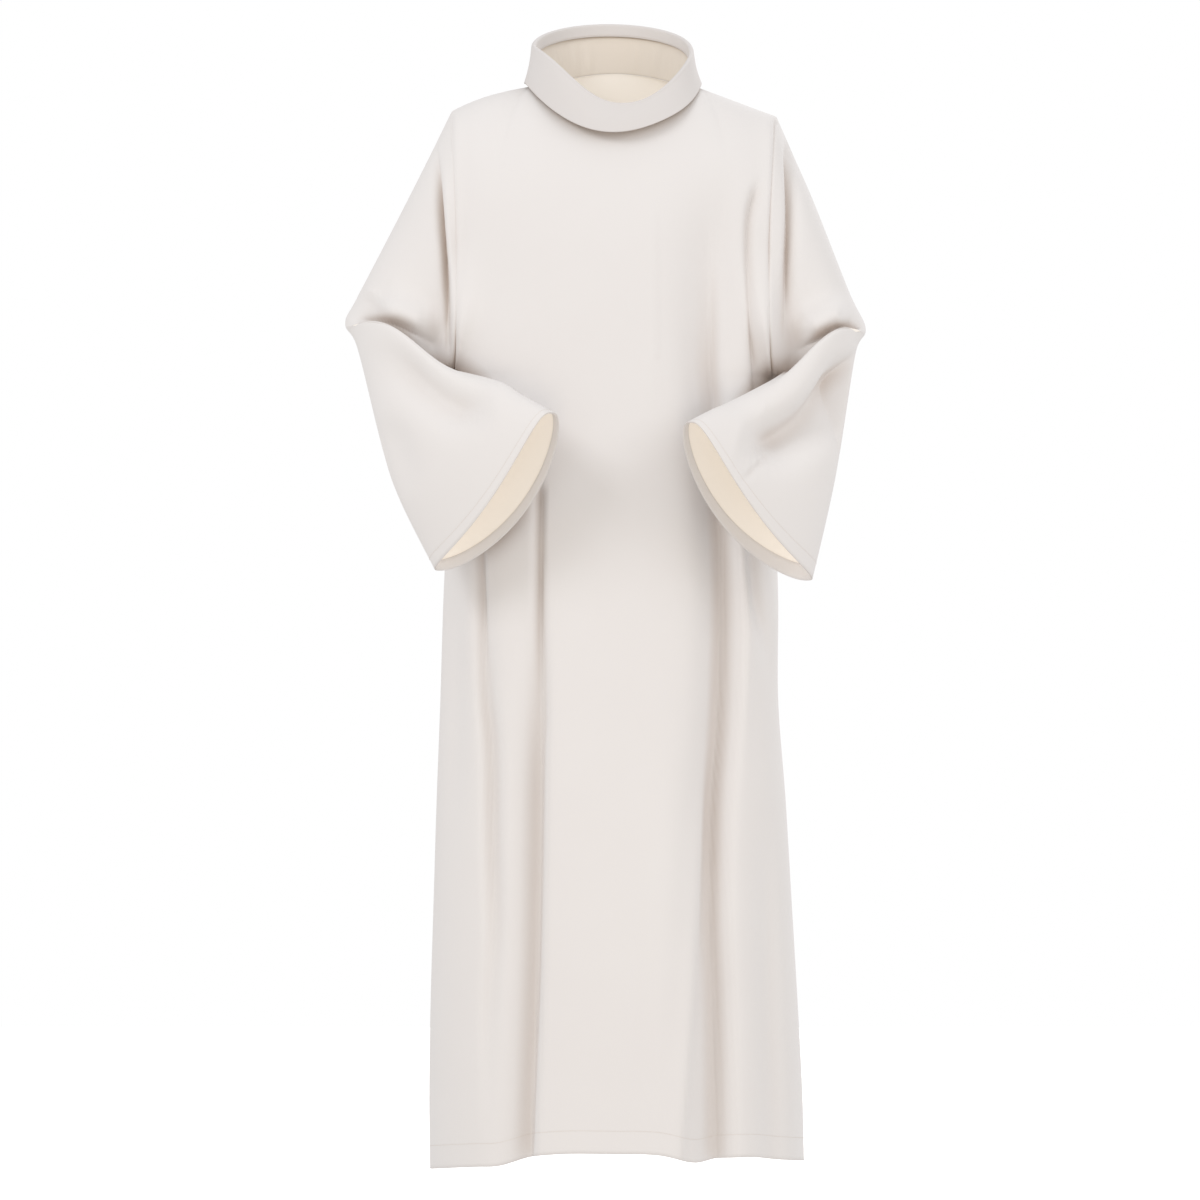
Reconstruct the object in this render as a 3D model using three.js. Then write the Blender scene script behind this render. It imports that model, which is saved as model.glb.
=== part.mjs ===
// An alb with a rolled collar and bell sleeves, in the hollow shape it has when it is worn.
// Millimetres, +Z up, the front faces -Y. The origin is the middle of the neck base,
// level with the points where the collar meets the shoulder seams.
// "Right" and "left" are the wearer's, so the right sleeve is on the -X side.
import * as THREE from 'three';

// ---- driving sizes ----

const CLOTH = 1.5;                 // wall of every panel, sleeve and hem
const SEAM_GAP = 0.3;              // clearance between two pieces that are sewn together

const NECK_HALF_WIDTH = 98;        // neckline seam, at the shoulder seams
const NECK_FRONT = 93;             // neckline seam, forward of the origin
const NECK_BACK = 90;
const NECK_SIDE_Z = 8;
const NECK_FRONT_DROP = 65;
const NECK_BACK_RISE = 27;
const NECK_SEGMENTS = 14;          // facets of half the neckline

const COLLAR_SHIFT = -2;           // the whole roll sits a little to the wearer's right
const RIM_HALF_WIDTH = 106.5;      // crest of the rolled collar
const RIM_FRONT = 97;
const RIM_BACK = 93;
const RIM_SIDE_Z = 62;
const RIM_FRONT_DROP = 17;         // the crest tilts forward
const RIM_BACK_RISE = 41;
const RIM_SKEW = 1.5;              // and its right side higher than its left
const RIM_DIP = 71;                // scoop at the throat, a little to the left
const RIM_DIP_AT = 6 * THREE.MathUtils.DEG2RAD;
const RIM_DIP_RIGHT = 46 * THREE.MathUtils.DEG2RAD;
const RIM_DIP_LEFT = 55 * THREE.MathUtils.DEG2RAD;
const RIM_DIP_POWER = 2.15;
const ROLL_RADIUS = 2.9;           // middle of the cloth where it turns over the crest
const TURNED_IN = 14;              // inner leg of the fall, stitched to the stand

const FALL_HALF_WIDTH = 119;       // lower edge of the fall
const FALL_FRONT = 114;
const FALL_BACK = 113;
const FALL_SIDE_Z = 12;
const FALL_FRONT_DROP = 78;
const FALL_BACK_RISE = 18;
const FALL_SLACK = 6;              // the fall droops and stands out over the left collarbone
const FALL_SLACK_AT = 52 * THREE.MathUtils.DEG2RAD;
const FALL_SLACK_SPREAD = 26 * THREE.MathUtils.DEG2RAD;
const FALL_BULGE = 3;              // in front and behind
const FALL_BULGE_SIDE = -1.5;      // over the shoulders

const SHOULDER_SEGMENTS = 3;
const ARMHOLE_DEPTH = 85;          // forward and back of the shoulder seam
const UNDERARM_Z = -389;
const SIDE_FULLNESS_END_Z = -720;  // below this the sides of the body are plain ovals
const CHEST_POWER = 2.4;           // how square the chest is between the armholes
const ARMHOLE_SEGMENTS = 10;       // facets of half the armhole

const HEM_DEPTH = 34;              // turned up inside the body
const CUFF_HEM_DEPTH = 15;         // turned in inside the sleeve
const BODY_SEGMENTS = 10;          // facets from the underarm to the top of the hem

const COLOURS = { body: 0xefeae7, sleeve: 0xf0ebea, collar: 0xf1eceb, hem: 0xe6ddd5 };
const ROUGHNESS = 0.9;

// shoulder points: where the shoulder seam meets the armhole. drop is straight, round is the
// part of the fall in height that gathers towards the arm. inset is how far the armhole's front
// and back lie closer to the middle than its two ends.
const SHOULDER = {
  right: { x: -219, underarmX: -215, drop: 20, round: 15, inset: 8 },
  left: { x: 219, underarmX: 213, drop: 42, round: 0, inset: 12 },
};

// body sections: half widths on the two sides, and depth in front and behind
const BODY = [
  { z: 35, right: 215, left: 213, front: 76, back: 91 },
  { z: -57, right: 215, left: 213, front: 96, back: 107 },
  { z: -120, right: 215, left: 213, front: 108, back: 113 },
  { z: -200, right: 215, left: 213, front: 117, back: 116 },
  { z: -389, right: 215, left: 213, front: 126, back: 117 },
  { z: -500, right: 220, left: 214, front: 134, back: 118 },
  { z: -686, right: 230, left: 221, front: 145, back: 126 },
  { z: -821, right: 234, left: 221, front: 152, back: 140 },
  { z: -956, right: 239, left: 231, front: 160, back: 150 },
  { z: -1091, right: 243, left: 239, front: 168, back: 160 },
  { z: -1226, right: 247, left: 247, front: 176, back: 169 },
  { z: -1361, right: 249, left: 254, front: 184, back: 178 },
  { z: -1450, right: 248, left: 256, front: 190, back: 185 },
];

// height of the lower edge, from the wearer's right to left
const HEM_FRONT = { rightZ: -1453, middleZ: -1410, leftZ: -1442 };
const HEM_BACK = { rightZ: -1453, middleZ: -1446, leftZ: -1442 };

// long folds of the body: where each runs, how wide it is, and how deep.
// A negative depth is a ridge.
const FRONT_FOLDS = [
  { topZ: -520, topX: -105, endZ: -1430, endX: -126, width: 17, depth: 7 },
  { topZ: -480, topX: -190, endZ: -1430, endX: -190, width: 15, depth: 9 },
  { topZ: -480, topX: -150, endZ: -1430, endX: -160, width: 18, depth: -5 },
  { topZ: -120, topX: 126, endZ: -700, endX: 158, width: 18, depth: 9 },
  { topZ: -560, topX: 158, endZ: -1430, endX: 108, width: 18, depth: 11 },
  { topZ: -560, topX: 185, endZ: -1430, endX: 150, width: 18, depth: -5 },
];
const BACK_FOLDS = [
  { topZ: -300, topX: -120, endZ: -1440, endX: -150, width: 20, depth: 10 },
  { topZ: -420, topX: -55, endZ: -1440, endX: -70, width: 18, depth: 7 },
  { topZ: -260, topX: 70, endZ: -1440, endX: 84, width: 20, depth: 9 },
  { topZ: -500, topX: 140, endZ: -1440, endX: 168, width: 20, depth: 10 },
];

// sleeve sections from the armhole to the cuff. outer is the point over the elbow and along the
// hanging edge, inner is the point in the crook and along the forearm, front and back are the
// half depths. lift raises the front, where the forearm's cloth rolls up over the elbow crease, and
// skew makes the back fuller towards outer. turn is how far the front of the section faces away
// from the body's middle, in degrees, and bow is how far its middle runs ahead of its two ends.
const RIGHT_SLEEVE = [
  { outer: [-219, 0, -27], inner: [-215, 0, -389], front: 85, back: 85,
    lift: 0, skew: 0, turn: 0, bow: 0 },
  { outer: [-276, 4, -143], inner: [-228, -8, -396], front: 72, back: 74,
    lift: 0, skew: 0, turn: 5, bow: 0 },
  { outer: [-342, 2, -274], inner: [-240, -38, -388], front: 58, back: 62,
    lift: 0, skew: 0.1, turn: 15, bow: 0 },
  { outer: [-359, -8, -314], inner: [-236, -82, -380], front: 40, back: 60,
    lift: 18, skew: 0.3, turn: 25, bow: 2 },
  { outer: [-340, -30, -351], inner: [-215, -126, -382], front: 40, back: 62,
    lift: 44, skew: 0.5, turn: 32, bow: 4 },
  { outer: [-303, -90, -486], inner: [-152, -180, -400], front: 44, back: 50,
    lift: 8, skew: 0.4, turn: 37, bow: 14 },
  { outer: [-279, -114, -553], inner: [-124, -206, -418], front: 42, back: 48,
    lift: 0, skew: 0.3, turn: 37, bow: 20 },
  { outer: [-231, -132, -647], inner: [-82, -240, -443], front: 42, back: 48,
    lift: 0, skew: 0.1, turn: 37, bow: 26 },
];
const LEFT_SLEEVE = [
  { outer: [219, 0, -34], inner: [213, 0, -389], front: 85, back: 85,
    lift: 0, skew: 0, turn: 0, bow: 0 },
  { outer: [266, 4, -143], inner: [227, -8, -396], front: 72, back: 74,
    lift: 0, skew: 0, turn: 5, bow: 0 },
  { outer: [314, 2, -270], inner: [239, -38, -390], front: 58, back: 62,
    lift: 0, skew: 0.1, turn: 15, bow: 0 },
  { outer: [335, -8, -321], inner: [235, -82, -386], front: 40, back: 60,
    lift: 18, skew: 0.3, turn: 25, bow: 2 },
  { outer: [319, -30, -358], inner: [214, -126, -394], front: 40, back: 62,
    lift: 44, skew: 0.5, turn: 32, bow: 4 },
  { outer: [295, -90, -486], inner: [153, -180, -426], front: 44, back: 50,
    lift: 8, skew: 0.4, turn: 37, bow: 14 },
  { outer: [281, -114, -553], inner: [128, -206, -438], front: 42, back: 48,
    lift: 0, skew: 0.3, turn: 37, bow: 20 },
  { outer: [255, -132, -660], inner: [98, -240, -455], front: 42, back: 48,
    lift: 0, skew: 0.1, turn: 37, bow: 26 },
];
// where along those sections the sleeve's rings lie, between its armhole seam and its cuff hem:
// closer together round the elbow
const SLEEVE_RINGS = [0.4, 0.9, 1.4, 1.9, 2.3, 2.65, 3, 3.3, 3.65, 4, 4.4, 4.9, 5.5, 6.1];

// ---- small tools ----

const vec = (x, y, z) => new THREE.Vector3(x, y, z);
const mix = THREE.MathUtils.lerp;
const ease = (x, from, to) => THREE.MathUtils.smoothstep(x, from, to);

/** Smooth curve through the rows of a table: returns a function of the place and the column. */
function tableCurve(places, columns) {
  const curves = {};
  for (const [key, values] of Object.entries(columns)) {
    curves[key] = new THREE.CubicInterpolant(places, values, 1);
  }
  return (place, key) => curves[key].evaluate(place)[0];
}

const bodyCurve = tableCurve(BODY.map((row) => -row.z), {
  right: BODY.map((row) => row.right),
  left: BODY.map((row) => row.left),
  front: BODY.map((row) => row.front),
  back: BODY.map((row) => row.back),
});
const bodySize = (key, z) => bodyCurve(-z, key);

/** Unit normals of a grid of points, from the two grid directions. */
function gridNormals(rows, closed) {
  const lastRow = rows.length - 1;
  const count = rows[0].length;
  const column = (c) => (closed ? (c + count) % count : THREE.MathUtils.clamp(c, 0, count - 1));
  return rows.map((row, r) => row.map((_, c) => {
    const down = rows[Math.min(lastRow, r + 1)][c].clone().sub(rows[Math.max(0, r - 1)][c]);
    const across = row[column(c + 1)].clone().sub(row[column(c - 1)]);
    return down.cross(across).normalize();
  }));
}

/** Closed wall on a grid of points: its faces lie at outward and inward along the normals. */
function clothWall(rows, normals, closed, outward = CLOTH / 2, inward = -CLOTH / 2) {
  const rowCount = rows.length;
  const columnCount = rows[0].length;
  const positions = [];
  for (const offset of [outward, inward]) {
    rows.forEach((row, r) => row.forEach((point, c) => {
      positions.push(...point.clone().addScaledVector(normals[r][c], offset));
    }));
  }
  const at = (layer, r, c) => (layer * rowCount + r) * columnCount + (c % columnCount);
  const index = [];
  const quad = (a, b, c, d) => index.push(a, b, c, a, c, d);
  const spans = closed ? columnCount : columnCount - 1;
  const bottom = rowCount - 1;
  for (let c = 0; c < spans; c += 1) {
    for (let r = 0; r < bottom; r += 1) {
      quad(at(0, r, c), at(0, r + 1, c), at(0, r + 1, c + 1), at(0, r, c + 1));
      quad(at(1, r, c), at(1, r, c + 1), at(1, r + 1, c + 1), at(1, r + 1, c));
    }
    quad(at(0, 0, c), at(0, 0, c + 1), at(1, 0, c + 1), at(1, 0, c));
    quad(at(0, bottom, c + 1), at(0, bottom, c), at(1, bottom, c), at(1, bottom, c + 1));
  }
  const side = columnCount - 1;
  for (let r = 0; r < bottom && !closed; r += 1) {
    quad(at(0, r + 1, 0), at(0, r, 0), at(1, r, 0), at(1, r + 1, 0));
    quad(at(0, r, side), at(0, r + 1, side), at(1, r + 1, side), at(1, r, side));
  }
  const geometry = new THREE.BufferGeometry();
  geometry.setAttribute('position', new THREE.Float32BufferAttribute(positions, 3));
  geometry.setIndex(index);
  geometry.computeVertexNormals();
  return geometry;
}

const alb = new THREE.Group();

function addPiece(name, geometry, colour) {
  const material = new THREE.MeshStandardMaterial({ color: colour, roughness: ROUGHNESS, metalness: 0 });
  const mesh = new THREE.Mesh(geometry, material);
  mesh.name = name;
  alb.add(mesh);
}

// ---- seams, which the pieces on both sides share ----

/**
 * A point of an oval ring round the neck. The angle starts at the front and grows towards +X.
 * power sets how late the height leaves that of the sides.
 */
function neckRing(angle, halfWidth, front, back, sideZ, frontDrop, backRise, power) {
  const forward = Math.cos(angle);
  const reach = Math.abs(forward) ** power;
  return vec(
    halfWidth * Math.sin(angle),
    forward > 0 ? -front * forward : -back * forward,
    sideZ + (forward > 0 ? -frontDrop : backRise) * reach,
  );
}

/** The neckline seam: its point, the normal of both pieces there, and the way to the collar. */
function neckline(angle) {
  const power = 1.7;
  const point = neckRing(angle, NECK_HALF_WIDTH, NECK_FRONT, NECK_BACK,
    NECK_SIDE_Z, NECK_FRONT_DROP, NECK_BACK_RISE, power);
  const out = vec(Math.sin(angle), -Math.cos(angle), 0);
  const forward = Math.cos(angle);
  const rise = 1 - 0.6 * Math.max(0, forward) - 0.4 * Math.max(0, -forward);
  const normal = out.clone().addScaledVector(vec(0, 0, 1), rise).normalize();
  const toCollar = vec(0, 0, 1).addScaledVector(out, -rise).normalize();
  return { point, normal, away: toCollar };
}

/**
 * The armhole seam on one side. The angle starts at the shoulder and ends at the underarm;
 * face is -1 for its front half and +1 for its back half.
 */
function armhole(side, angle, face) {
  const shoulder = SHOULDER[side];
  const outward = Math.sign(shoulder.x);
  const topZ = NECK_SIDE_Z - shoulder.drop - shoulder.round;
  const share = (1 - Math.cos(angle)) / 2;
  const x = mix(shoulder.x, shoulder.underarmX, share) - outward * shoulder.inset * Math.sin(angle);
  const middle = vec(x, 0, mix(topZ, UNDERARM_Z, share));
  const point = middle.clone().add(vec(0, face * ARMHOLE_DEPTH * Math.sin(angle), 0));
  const radial = vec(0, face * Math.sin(angle), Math.cos(angle));
  const corner = Math.max(0, -Math.cos(angle)) ** 2;
  const normal = radial.clone().addScaledVector(vec(outward, 0, 0), corner).normalize();
  const toSleeve = vec(outward, 0, 0).addScaledVector(radial, -corner).normalize();
  return { point, normal, away: toSleeve };
}

// ---- front and back panels ----

/** How far the long folds push the cloth towards the body at a place. */
function foldDepth(folds, x, z) {
  return folds.reduce((sum, fold) => {
    const along = (fold.topZ - z) / (fold.topZ - fold.endZ);
    const line = mix(fold.topX, fold.endX, along);
    const reach = ease(along, 0, 0.25) * (1 - 0.6 * ease(along, 0.92, 1.05));
    const stop = fold.endZ > -1000 ? 1 - ease(along, 0.8, 1.02) : 1;
    return sum + fold.depth * reach * stop * Math.exp(-(((x - line) / fold.width) ** 2));
  }, 0);
}

/** Height of the lower edge across a panel; across runs from -1 on the right to 1 on the left. */
function hemHeight(hem, across) {
  const sideZ = across < 0 ? hem.rightZ : hem.leftZ;
  return mix(hem.middleZ, sideZ, ease(Math.abs(across), 0.25, 1));
}

/**
 * Grid of a panel, from the neck and shoulder seams down to the lower edge. Above the underarm
 * the rows end on the armhole, below it on the side seams. In each row the depth grows from
 * the row's ends to its middle, as a cosine below the armholes and more squarely between them,
 * and the top row bends that form to the shoulder.
 */
function panelGrid(face, folds, hem) {
  const column = face < 0 ? 'front' : 'back';
  const neckShare = 0.56;
  const across = [];
  for (let i = 0; i < SHOULDER_SEGMENTS; i += 1) across.push(-mix(1, neckShare, i / SHOULDER_SEGMENTS));
  for (let i = 0; i <= NECK_SEGMENTS; i += 1) across.push(mix(-neckShare, neckShare, i / NECK_SEGMENTS));
  for (let i = 1; i <= SHOULDER_SEGMENTS; i += 1) across.push(mix(neckShare, 1, i / SHOULDER_SEGMENTS));
  const bow = (u) => Math.cos(u * Math.PI / 2) ** 0.9;
  const squareBow = (u) => 1 - Math.abs(Math.sin(u * Math.PI / 2)) ** CHEST_POWER;
  const gap = face * SEAM_GAP / 2;
  const neckAngle = (u) => {
    const turn = (u / neckShare) * Math.PI / 2;
    return face < 0 ? turn : Math.PI - turn;
  };

  const topRow = across.map((u) => {
    if (Math.abs(u) <= neckShare + 1e-6) {
      const seam = neckline(neckAngle(u));
      const point = seam.point.clone().addScaledVector(seam.away, -SEAM_GAP / 2);
      if (Math.abs(u) > neckShare - 1e-6) point.y = gap;
      return point;
    }
    const shoulder = u < 0 ? SHOULDER.right : SHOULDER.left;
    const s = (Math.abs(u) - neckShare) / (1 - neckShare);
    const z = NECK_SIDE_Z - shoulder.drop * s - shoulder.round * s ** 3;
    return vec(mix(Math.sign(u) * NECK_HALF_WIDTH, shoulder.x, s), gap, z);
  });

  const rows = [];
  for (let i = 0; i <= ARMHOLE_SEGMENTS; i += 1) {
    const angle = Math.PI * i / ARMHOLE_SEGMENTS;
    const share = (1 - Math.cos(angle)) / 2;
    const settled = Math.sin(Math.min(angle, Math.PI / 2));
    rows.push(across.map((u, c) => {
      const side = u < 0 ? 'right' : 'left';
      const edge = armhole(side, angle, face);
      if (Math.abs(u) === 1) {
        const point = edge.point.clone().addScaledVector(edge.away, -SEAM_GAP / 2);
        if (i === 0 || i === ARMHOLE_SEGMENTS) point.y = gap;
        return point;
      }
      const top = topRow[c];
      const z = mix(top.z, UNDERARM_Z, share);
      const middle = face * bodySize(column, z);
      const oval = ARMHOLE_DEPTH * Math.sin(angle);
      const sideDepth = face * mix(ARMHOLE_DEPTH * settled, oval, u ** 2);
      const bend = mix(bow(u), squareBow(u), Math.sin(angle) ** 0.7);
      const plain = sideDepth + (middle - sideDepth) * bend;
      const plainTop = face * bodySize(column, top.z) * bend;
      const y = plain + (top.y - plainTop) * (1 - settled);
      const seamX = Math.abs(SHOULDER[side].underarmX) - SHOULDER[side].inset * Math.sin(angle);
      const wide = seamX * Math.sin(u * Math.PI / 2);
      const x = mix(top.x, wide, mix(settled, share, Math.abs(u) ** 8));
      const fold = i === 0 ? 0 : foldDepth(folds, x, z) * settled;
      return vec(x, i === 0 ? top.y : y - face * fold, i === 0 ? top.z : z);
    }));
  }
  for (let i = 1; i <= BODY_SEGMENTS + 1; i += 1) {
    rows.push(across.map((u) => {
      const lowest = hemHeight(hem, u);
      const hemTop = lowest + HEM_DEPTH;
      const z = i > BODY_SEGMENTS ? lowest : mix(UNDERARM_Z, hemTop, i / BODY_SEGMENTS);
      const width = bodySize(u < 0 ? 'right' : 'left', z);
      const x = width * Math.sin(u * Math.PI / 2);
      if (Math.abs(u) === 1) return vec(x, gap, z);
      const fullness = 1 - ease(-z, -UNDERARM_Z, -SIDE_FULLNESS_END_Z);
      const sideDepth = ARMHOLE_DEPTH * fullness * (1 - u ** 2);
      const y = face * (sideDepth + (bodySize(column, z) - sideDepth) * bow(u));
      const fold = foldDepth(folds, x, z) * ease(1 - Math.abs(u), 0, 0.2);
      return vec(x, y - face * fold, z);
    }));
  }
  return face < 0 ? rows : rows.map((row) => row.slice().reverse());
}

/** Normals of a panel, set to the shared ones on its seams. */
function panelNormals(rows, face) {
  const normals = gridNormals(rows, false);
  const last = rows[0].length - 1;
  for (let c = 0; c <= last; c += 1) {
    const neckIndex = c - SHOULDER_SEGMENTS;
    if (neckIndex >= 0 && neckIndex <= NECK_SEGMENTS) {
      const turn = mix(-Math.PI / 2, Math.PI / 2, neckIndex / NECK_SEGMENTS);
      normals[0][c].copy(neckline(face < 0 ? turn : Math.PI + turn).normal);
    } else {
      normals[0][c].setY(0).normalize();
    }
  }
  for (const c of [0, last]) {
    const onRight = (c === 0) === (face < 0);
    rows.forEach((_, r) => {
      if (r <= ARMHOLE_SEGMENTS) {
        const angle = Math.PI * r / ARMHOLE_SEGMENTS;
        normals[r][c].copy(armhole(onRight ? 'right' : 'left', angle, face).normal);
      } else {
        normals[r][c].setY(0).normalize();
      }
    });
  }
  return normals;
}

/** A panel, and the strip of its lower edge that is turned up inside it. */
function addPanel(name, hemName, face, folds, hem) {
  const rows = panelGrid(face, folds, hem);
  const normals = panelNormals(rows, face);
  addPiece(name, clothWall(rows, normals, false), COLOURS.body);
  const inner = -CLOTH / 2 - SEAM_GAP;
  const strip = clothWall(rows.slice(-2), normals.slice(-2), false, inner, inner - CLOTH);
  addPiece(hemName, strip, COLOURS.hem);
}

addPanel('front', 'hem_front', -1, FRONT_FOLDS, HEM_FRONT);
addPanel('back', 'hem_back', 1, BACK_FOLDS, HEM_BACK);

// ---- sleeves ----

/** The smooth curve through a sleeve's table. */
function sleeveCurve(table) {
  const columns = {};
  for (const key of ['front', 'back', 'lift', 'skew', 'turn', 'bow']) {
    columns[key] = table.map((row) => row[key]);
  }
  for (const key of ['outer', 'inner']) {
    [0, 1, 2].forEach((axis) => {
      columns[key + axis] = table.map((row) => row[key][axis]);
    });
  }
  return tableCurve(table.map((_, i) => i), columns);
}

/**
 * One ring of a sleeve: an oval on the line from outer to inner, deep along its turned front.
 * Its two ends grow blunter towards the cuff.
 */
function sleeveRing(curve, place, side) {
  const outward = Math.sign(SHOULDER[side].x);
  const inset = SHOULDER[side].inset * (1 - ease(place, 0, 1));
  const blunt = mix(1, 0.75, ease(place, 4.5, 7));
  const end = (key) => vec(...[0, 1, 2].map((axis) => curve(place, key + axis)));
  const outer = end('outer');
  const inner = end('inner');
  const turn = curve(place, 'turn') * THREE.MathUtils.DEG2RAD;
  const front = vec(outward * Math.sin(turn), -Math.cos(turn), 0);
  const middle = outer.clone().add(inner).multiplyScalar(0.5);
  const half = outer.clone().sub(middle);
  const ahead = half.clone().cross(front).multiplyScalar(outward).normalize();
  const ring = [];
  for (let i = 0; i < 2 * ARMHOLE_SEGMENTS; i += 1) {
    const angle = Math.PI * i / ARMHOLE_SEGMENTS;
    const fullness = 1 + curve(place, 'skew') * Math.cos(angle);
    const reach = Math.sin(angle) > 0 ? curve(place, 'front') : curve(place, 'back') * fullness;
    const depth = Math.sign(Math.sin(angle)) * Math.abs(Math.sin(angle)) ** blunt * reach;
    const point = middle.clone().addScaledVector(half, Math.cos(angle)).addScaledVector(front, depth);
    point.z += curve(place, 'lift') * Math.max(0, Math.sin(angle)) ** 1.5;
    point.x -= outward * inset * Math.abs(Math.sin(angle));
    ring.push(point.addScaledVector(ahead, curve(place, 'bow') * Math.sin(angle) ** 2));
  }
  return ring;
}

/** A sleeve from its armhole to its cuff, and the strip of its edge that is turned in. */
function addSleeve(name, hemName, side, table) {
  const outward = Math.sign(SHOULDER[side].x);
  const seam = [];
  for (let i = 0; i < 2 * ARMHOLE_SEGMENTS; i += 1) {
    const half = i <= ARMHOLE_SEGMENTS;
    const angle = Math.PI * (half ? i : 2 * ARMHOLE_SEGMENTS - i) / ARMHOLE_SEGMENTS;
    seam.push(armhole(side, angle, half ? -1 : 1));
  }
  const curve = sleeveCurve(table);
  const seamRing = seam.map((at) => at.point.clone().addScaledVector(at.away, SEAM_GAP / 2));
  const cuff = sleeveRing(curve, table.length - 1, side);
  const beforeCuff = sleeveRing(curve, table.length - 1.3, side);
  const hemTop = cuff.map((point, i) => {
    const back = beforeCuff[i].clone().sub(point);
    return point.clone().addScaledVector(back.normalize(), CUFF_HEM_DEPTH);
  });
  const middleRings = SLEEVE_RINGS.map((place) => sleeveRing(curve, place, side));
  const rings = [seamRing, ...middleRings, hemTop, cuff];
  const turned = outward > 0 ? (ring) => [ring[0], ...ring.slice(1).reverse()] : (ring) => ring;
  const rows = rings.map(turned);
  const normals = gridNormals(rows, true);
  turned(seam).forEach((at, c) => normals[0][c].copy(at.normal));
  addPiece(name, clothWall(rows, normals, true), COLOURS.sleeve);
  const inner = -CLOTH / 2 - SEAM_GAP;
  const strip = clothWall(rows.slice(-2), normals.slice(-2), true, inner, inner - CLOTH);
  addPiece(hemName, strip, COLOURS.hem);
}

addSleeve('sleeve_right', 'cuff_hem_right', 'right', RIGHT_SLEEVE);
addSleeve('sleeve_left', 'cuff_hem_left', 'left', LEFT_SLEEVE);

// ---- collar ----

/** The crest of the rolled collar: an oval that tilts forward, with a scoop at the throat. */
function rim(angle) {
  const spread = angle < RIM_DIP_AT ? RIM_DIP_RIGHT : RIM_DIP_LEFT;
  const fromDip = Math.abs((angle - RIM_DIP_AT) / spread);
  const dip = RIM_DIP * Math.exp(-(fromDip ** RIM_DIP_POWER));
  const forward = Math.cos(angle);
  const tilt = forward > 0 ? RIM_FRONT_DROP : RIM_BACK_RISE;
  return vec(
    COLLAR_SHIFT + RIM_HALF_WIDTH * Math.sin(angle),
    -forward * (forward > 0 ? RIM_FRONT : RIM_BACK),
    RIM_SIDE_Z - RIM_SKEW * Math.sin(angle) - tilt * forward - dip,
  );
}

/** The lower edge of the fall. */
function fallEdge(angle) {
  const point = neckRing(angle, FALL_HALF_WIDTH, FALL_FRONT, FALL_BACK,
    FALL_SIDE_Z, FALL_FRONT_DROP, FALL_BACK_RISE, 1.8);
  const slack = FALL_SLACK * Math.exp(-(((angle - FALL_SLACK_AT) / FALL_SLACK_SPREAD) ** 2));
  const out = 1 + slack / FALL_HALF_WIDTH;
  return vec(COLLAR_SHIFT + point.x * out, point.y * out, point.z - slack);
}

/** Angles of the collar's facets, which end on the same points as the panels' neckline. */
function collarAngles() {
  const count = 2 * NECK_SEGMENTS;
  return Array.from({ length: count }, (_, i) => -Math.PI + 2 * Math.PI * i / count);
}

/**
 * The fall's section in the upright plane through the neck's middle: up the inner leg,
 * over the crest in a half circle, and down the outer leg in a shallow bow.
 */
function fallSection(angle) {
  const crest = rim(angle);
  const edge = fallEdge(angle);
  const out = vec(Math.sin(angle), -Math.cos(angle), 0);
  const centre = crest.clone().add(vec(0, 0, -ROLL_RADIUS));
  const section = [centre.clone().addScaledVector(out, -ROLL_RADIUS).add(vec(0, 0, -TURNED_IN))];
  const rollSteps = 4;
  for (let i = 0; i <= rollSteps; i += 1) {
    const turn = Math.PI * (1 - i / rollSteps);
    const lift = vec(0, 0, ROLL_RADIUS * Math.sin(turn));
    section.push(centre.clone().addScaledVector(out, ROLL_RADIUS * Math.cos(turn)).add(lift));
  }
  const start = section[section.length - 1];
  const legSteps = 4;
  for (let i = 1; i <= legSteps; i += 1) {
    const s = i / legSteps;
    const fullness = mix(FALL_BULGE_SIDE, FALL_BULGE, Math.cos(angle) ** 2);
    const bulge = fullness * Math.sin(Math.PI * s);
    section.push(start.clone().lerp(edge, s).addScaledVector(out, bulge));
  }
  return section;
}

/** The stand's section: from inside the roll down to the neckline seam. */
function standSection(angle) {
  const seam = neckline(angle);
  const foot = seam.point.clone().addScaledVector(seam.away, SEAM_GAP / 2);
  const top = rim(angle).add(vec(0, 0, -ROLL_RADIUS - 1));
  const below = top.clone().add(vec(0, 0, -TURNED_IN - 2));
  const steps = 3;
  const section = [top];
  for (let i = 0; i <= steps; i += 1) section.push(below.clone().lerp(foot, i / steps));
  return section;
}

function addCollarRing(name, sectionAt, footNormal) {
  const sections = collarAngles().map(sectionAt);
  const rows = sections[0].map((_, r) => sections.map((section) => section[r]));
  const normals = gridNormals(rows, true);
  if (footNormal) {
    collarAngles().forEach((angle, c) => normals[rows.length - 1][c].copy(neckline(angle).normal));
  }
  addPiece(name, clothWall(rows, normals, true), COLOURS.collar);
}

addCollarRing('collar_fall', fallSection, false);
addCollarRing('collar_stand', standSection, true);

export default alb;
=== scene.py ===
import math

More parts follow.
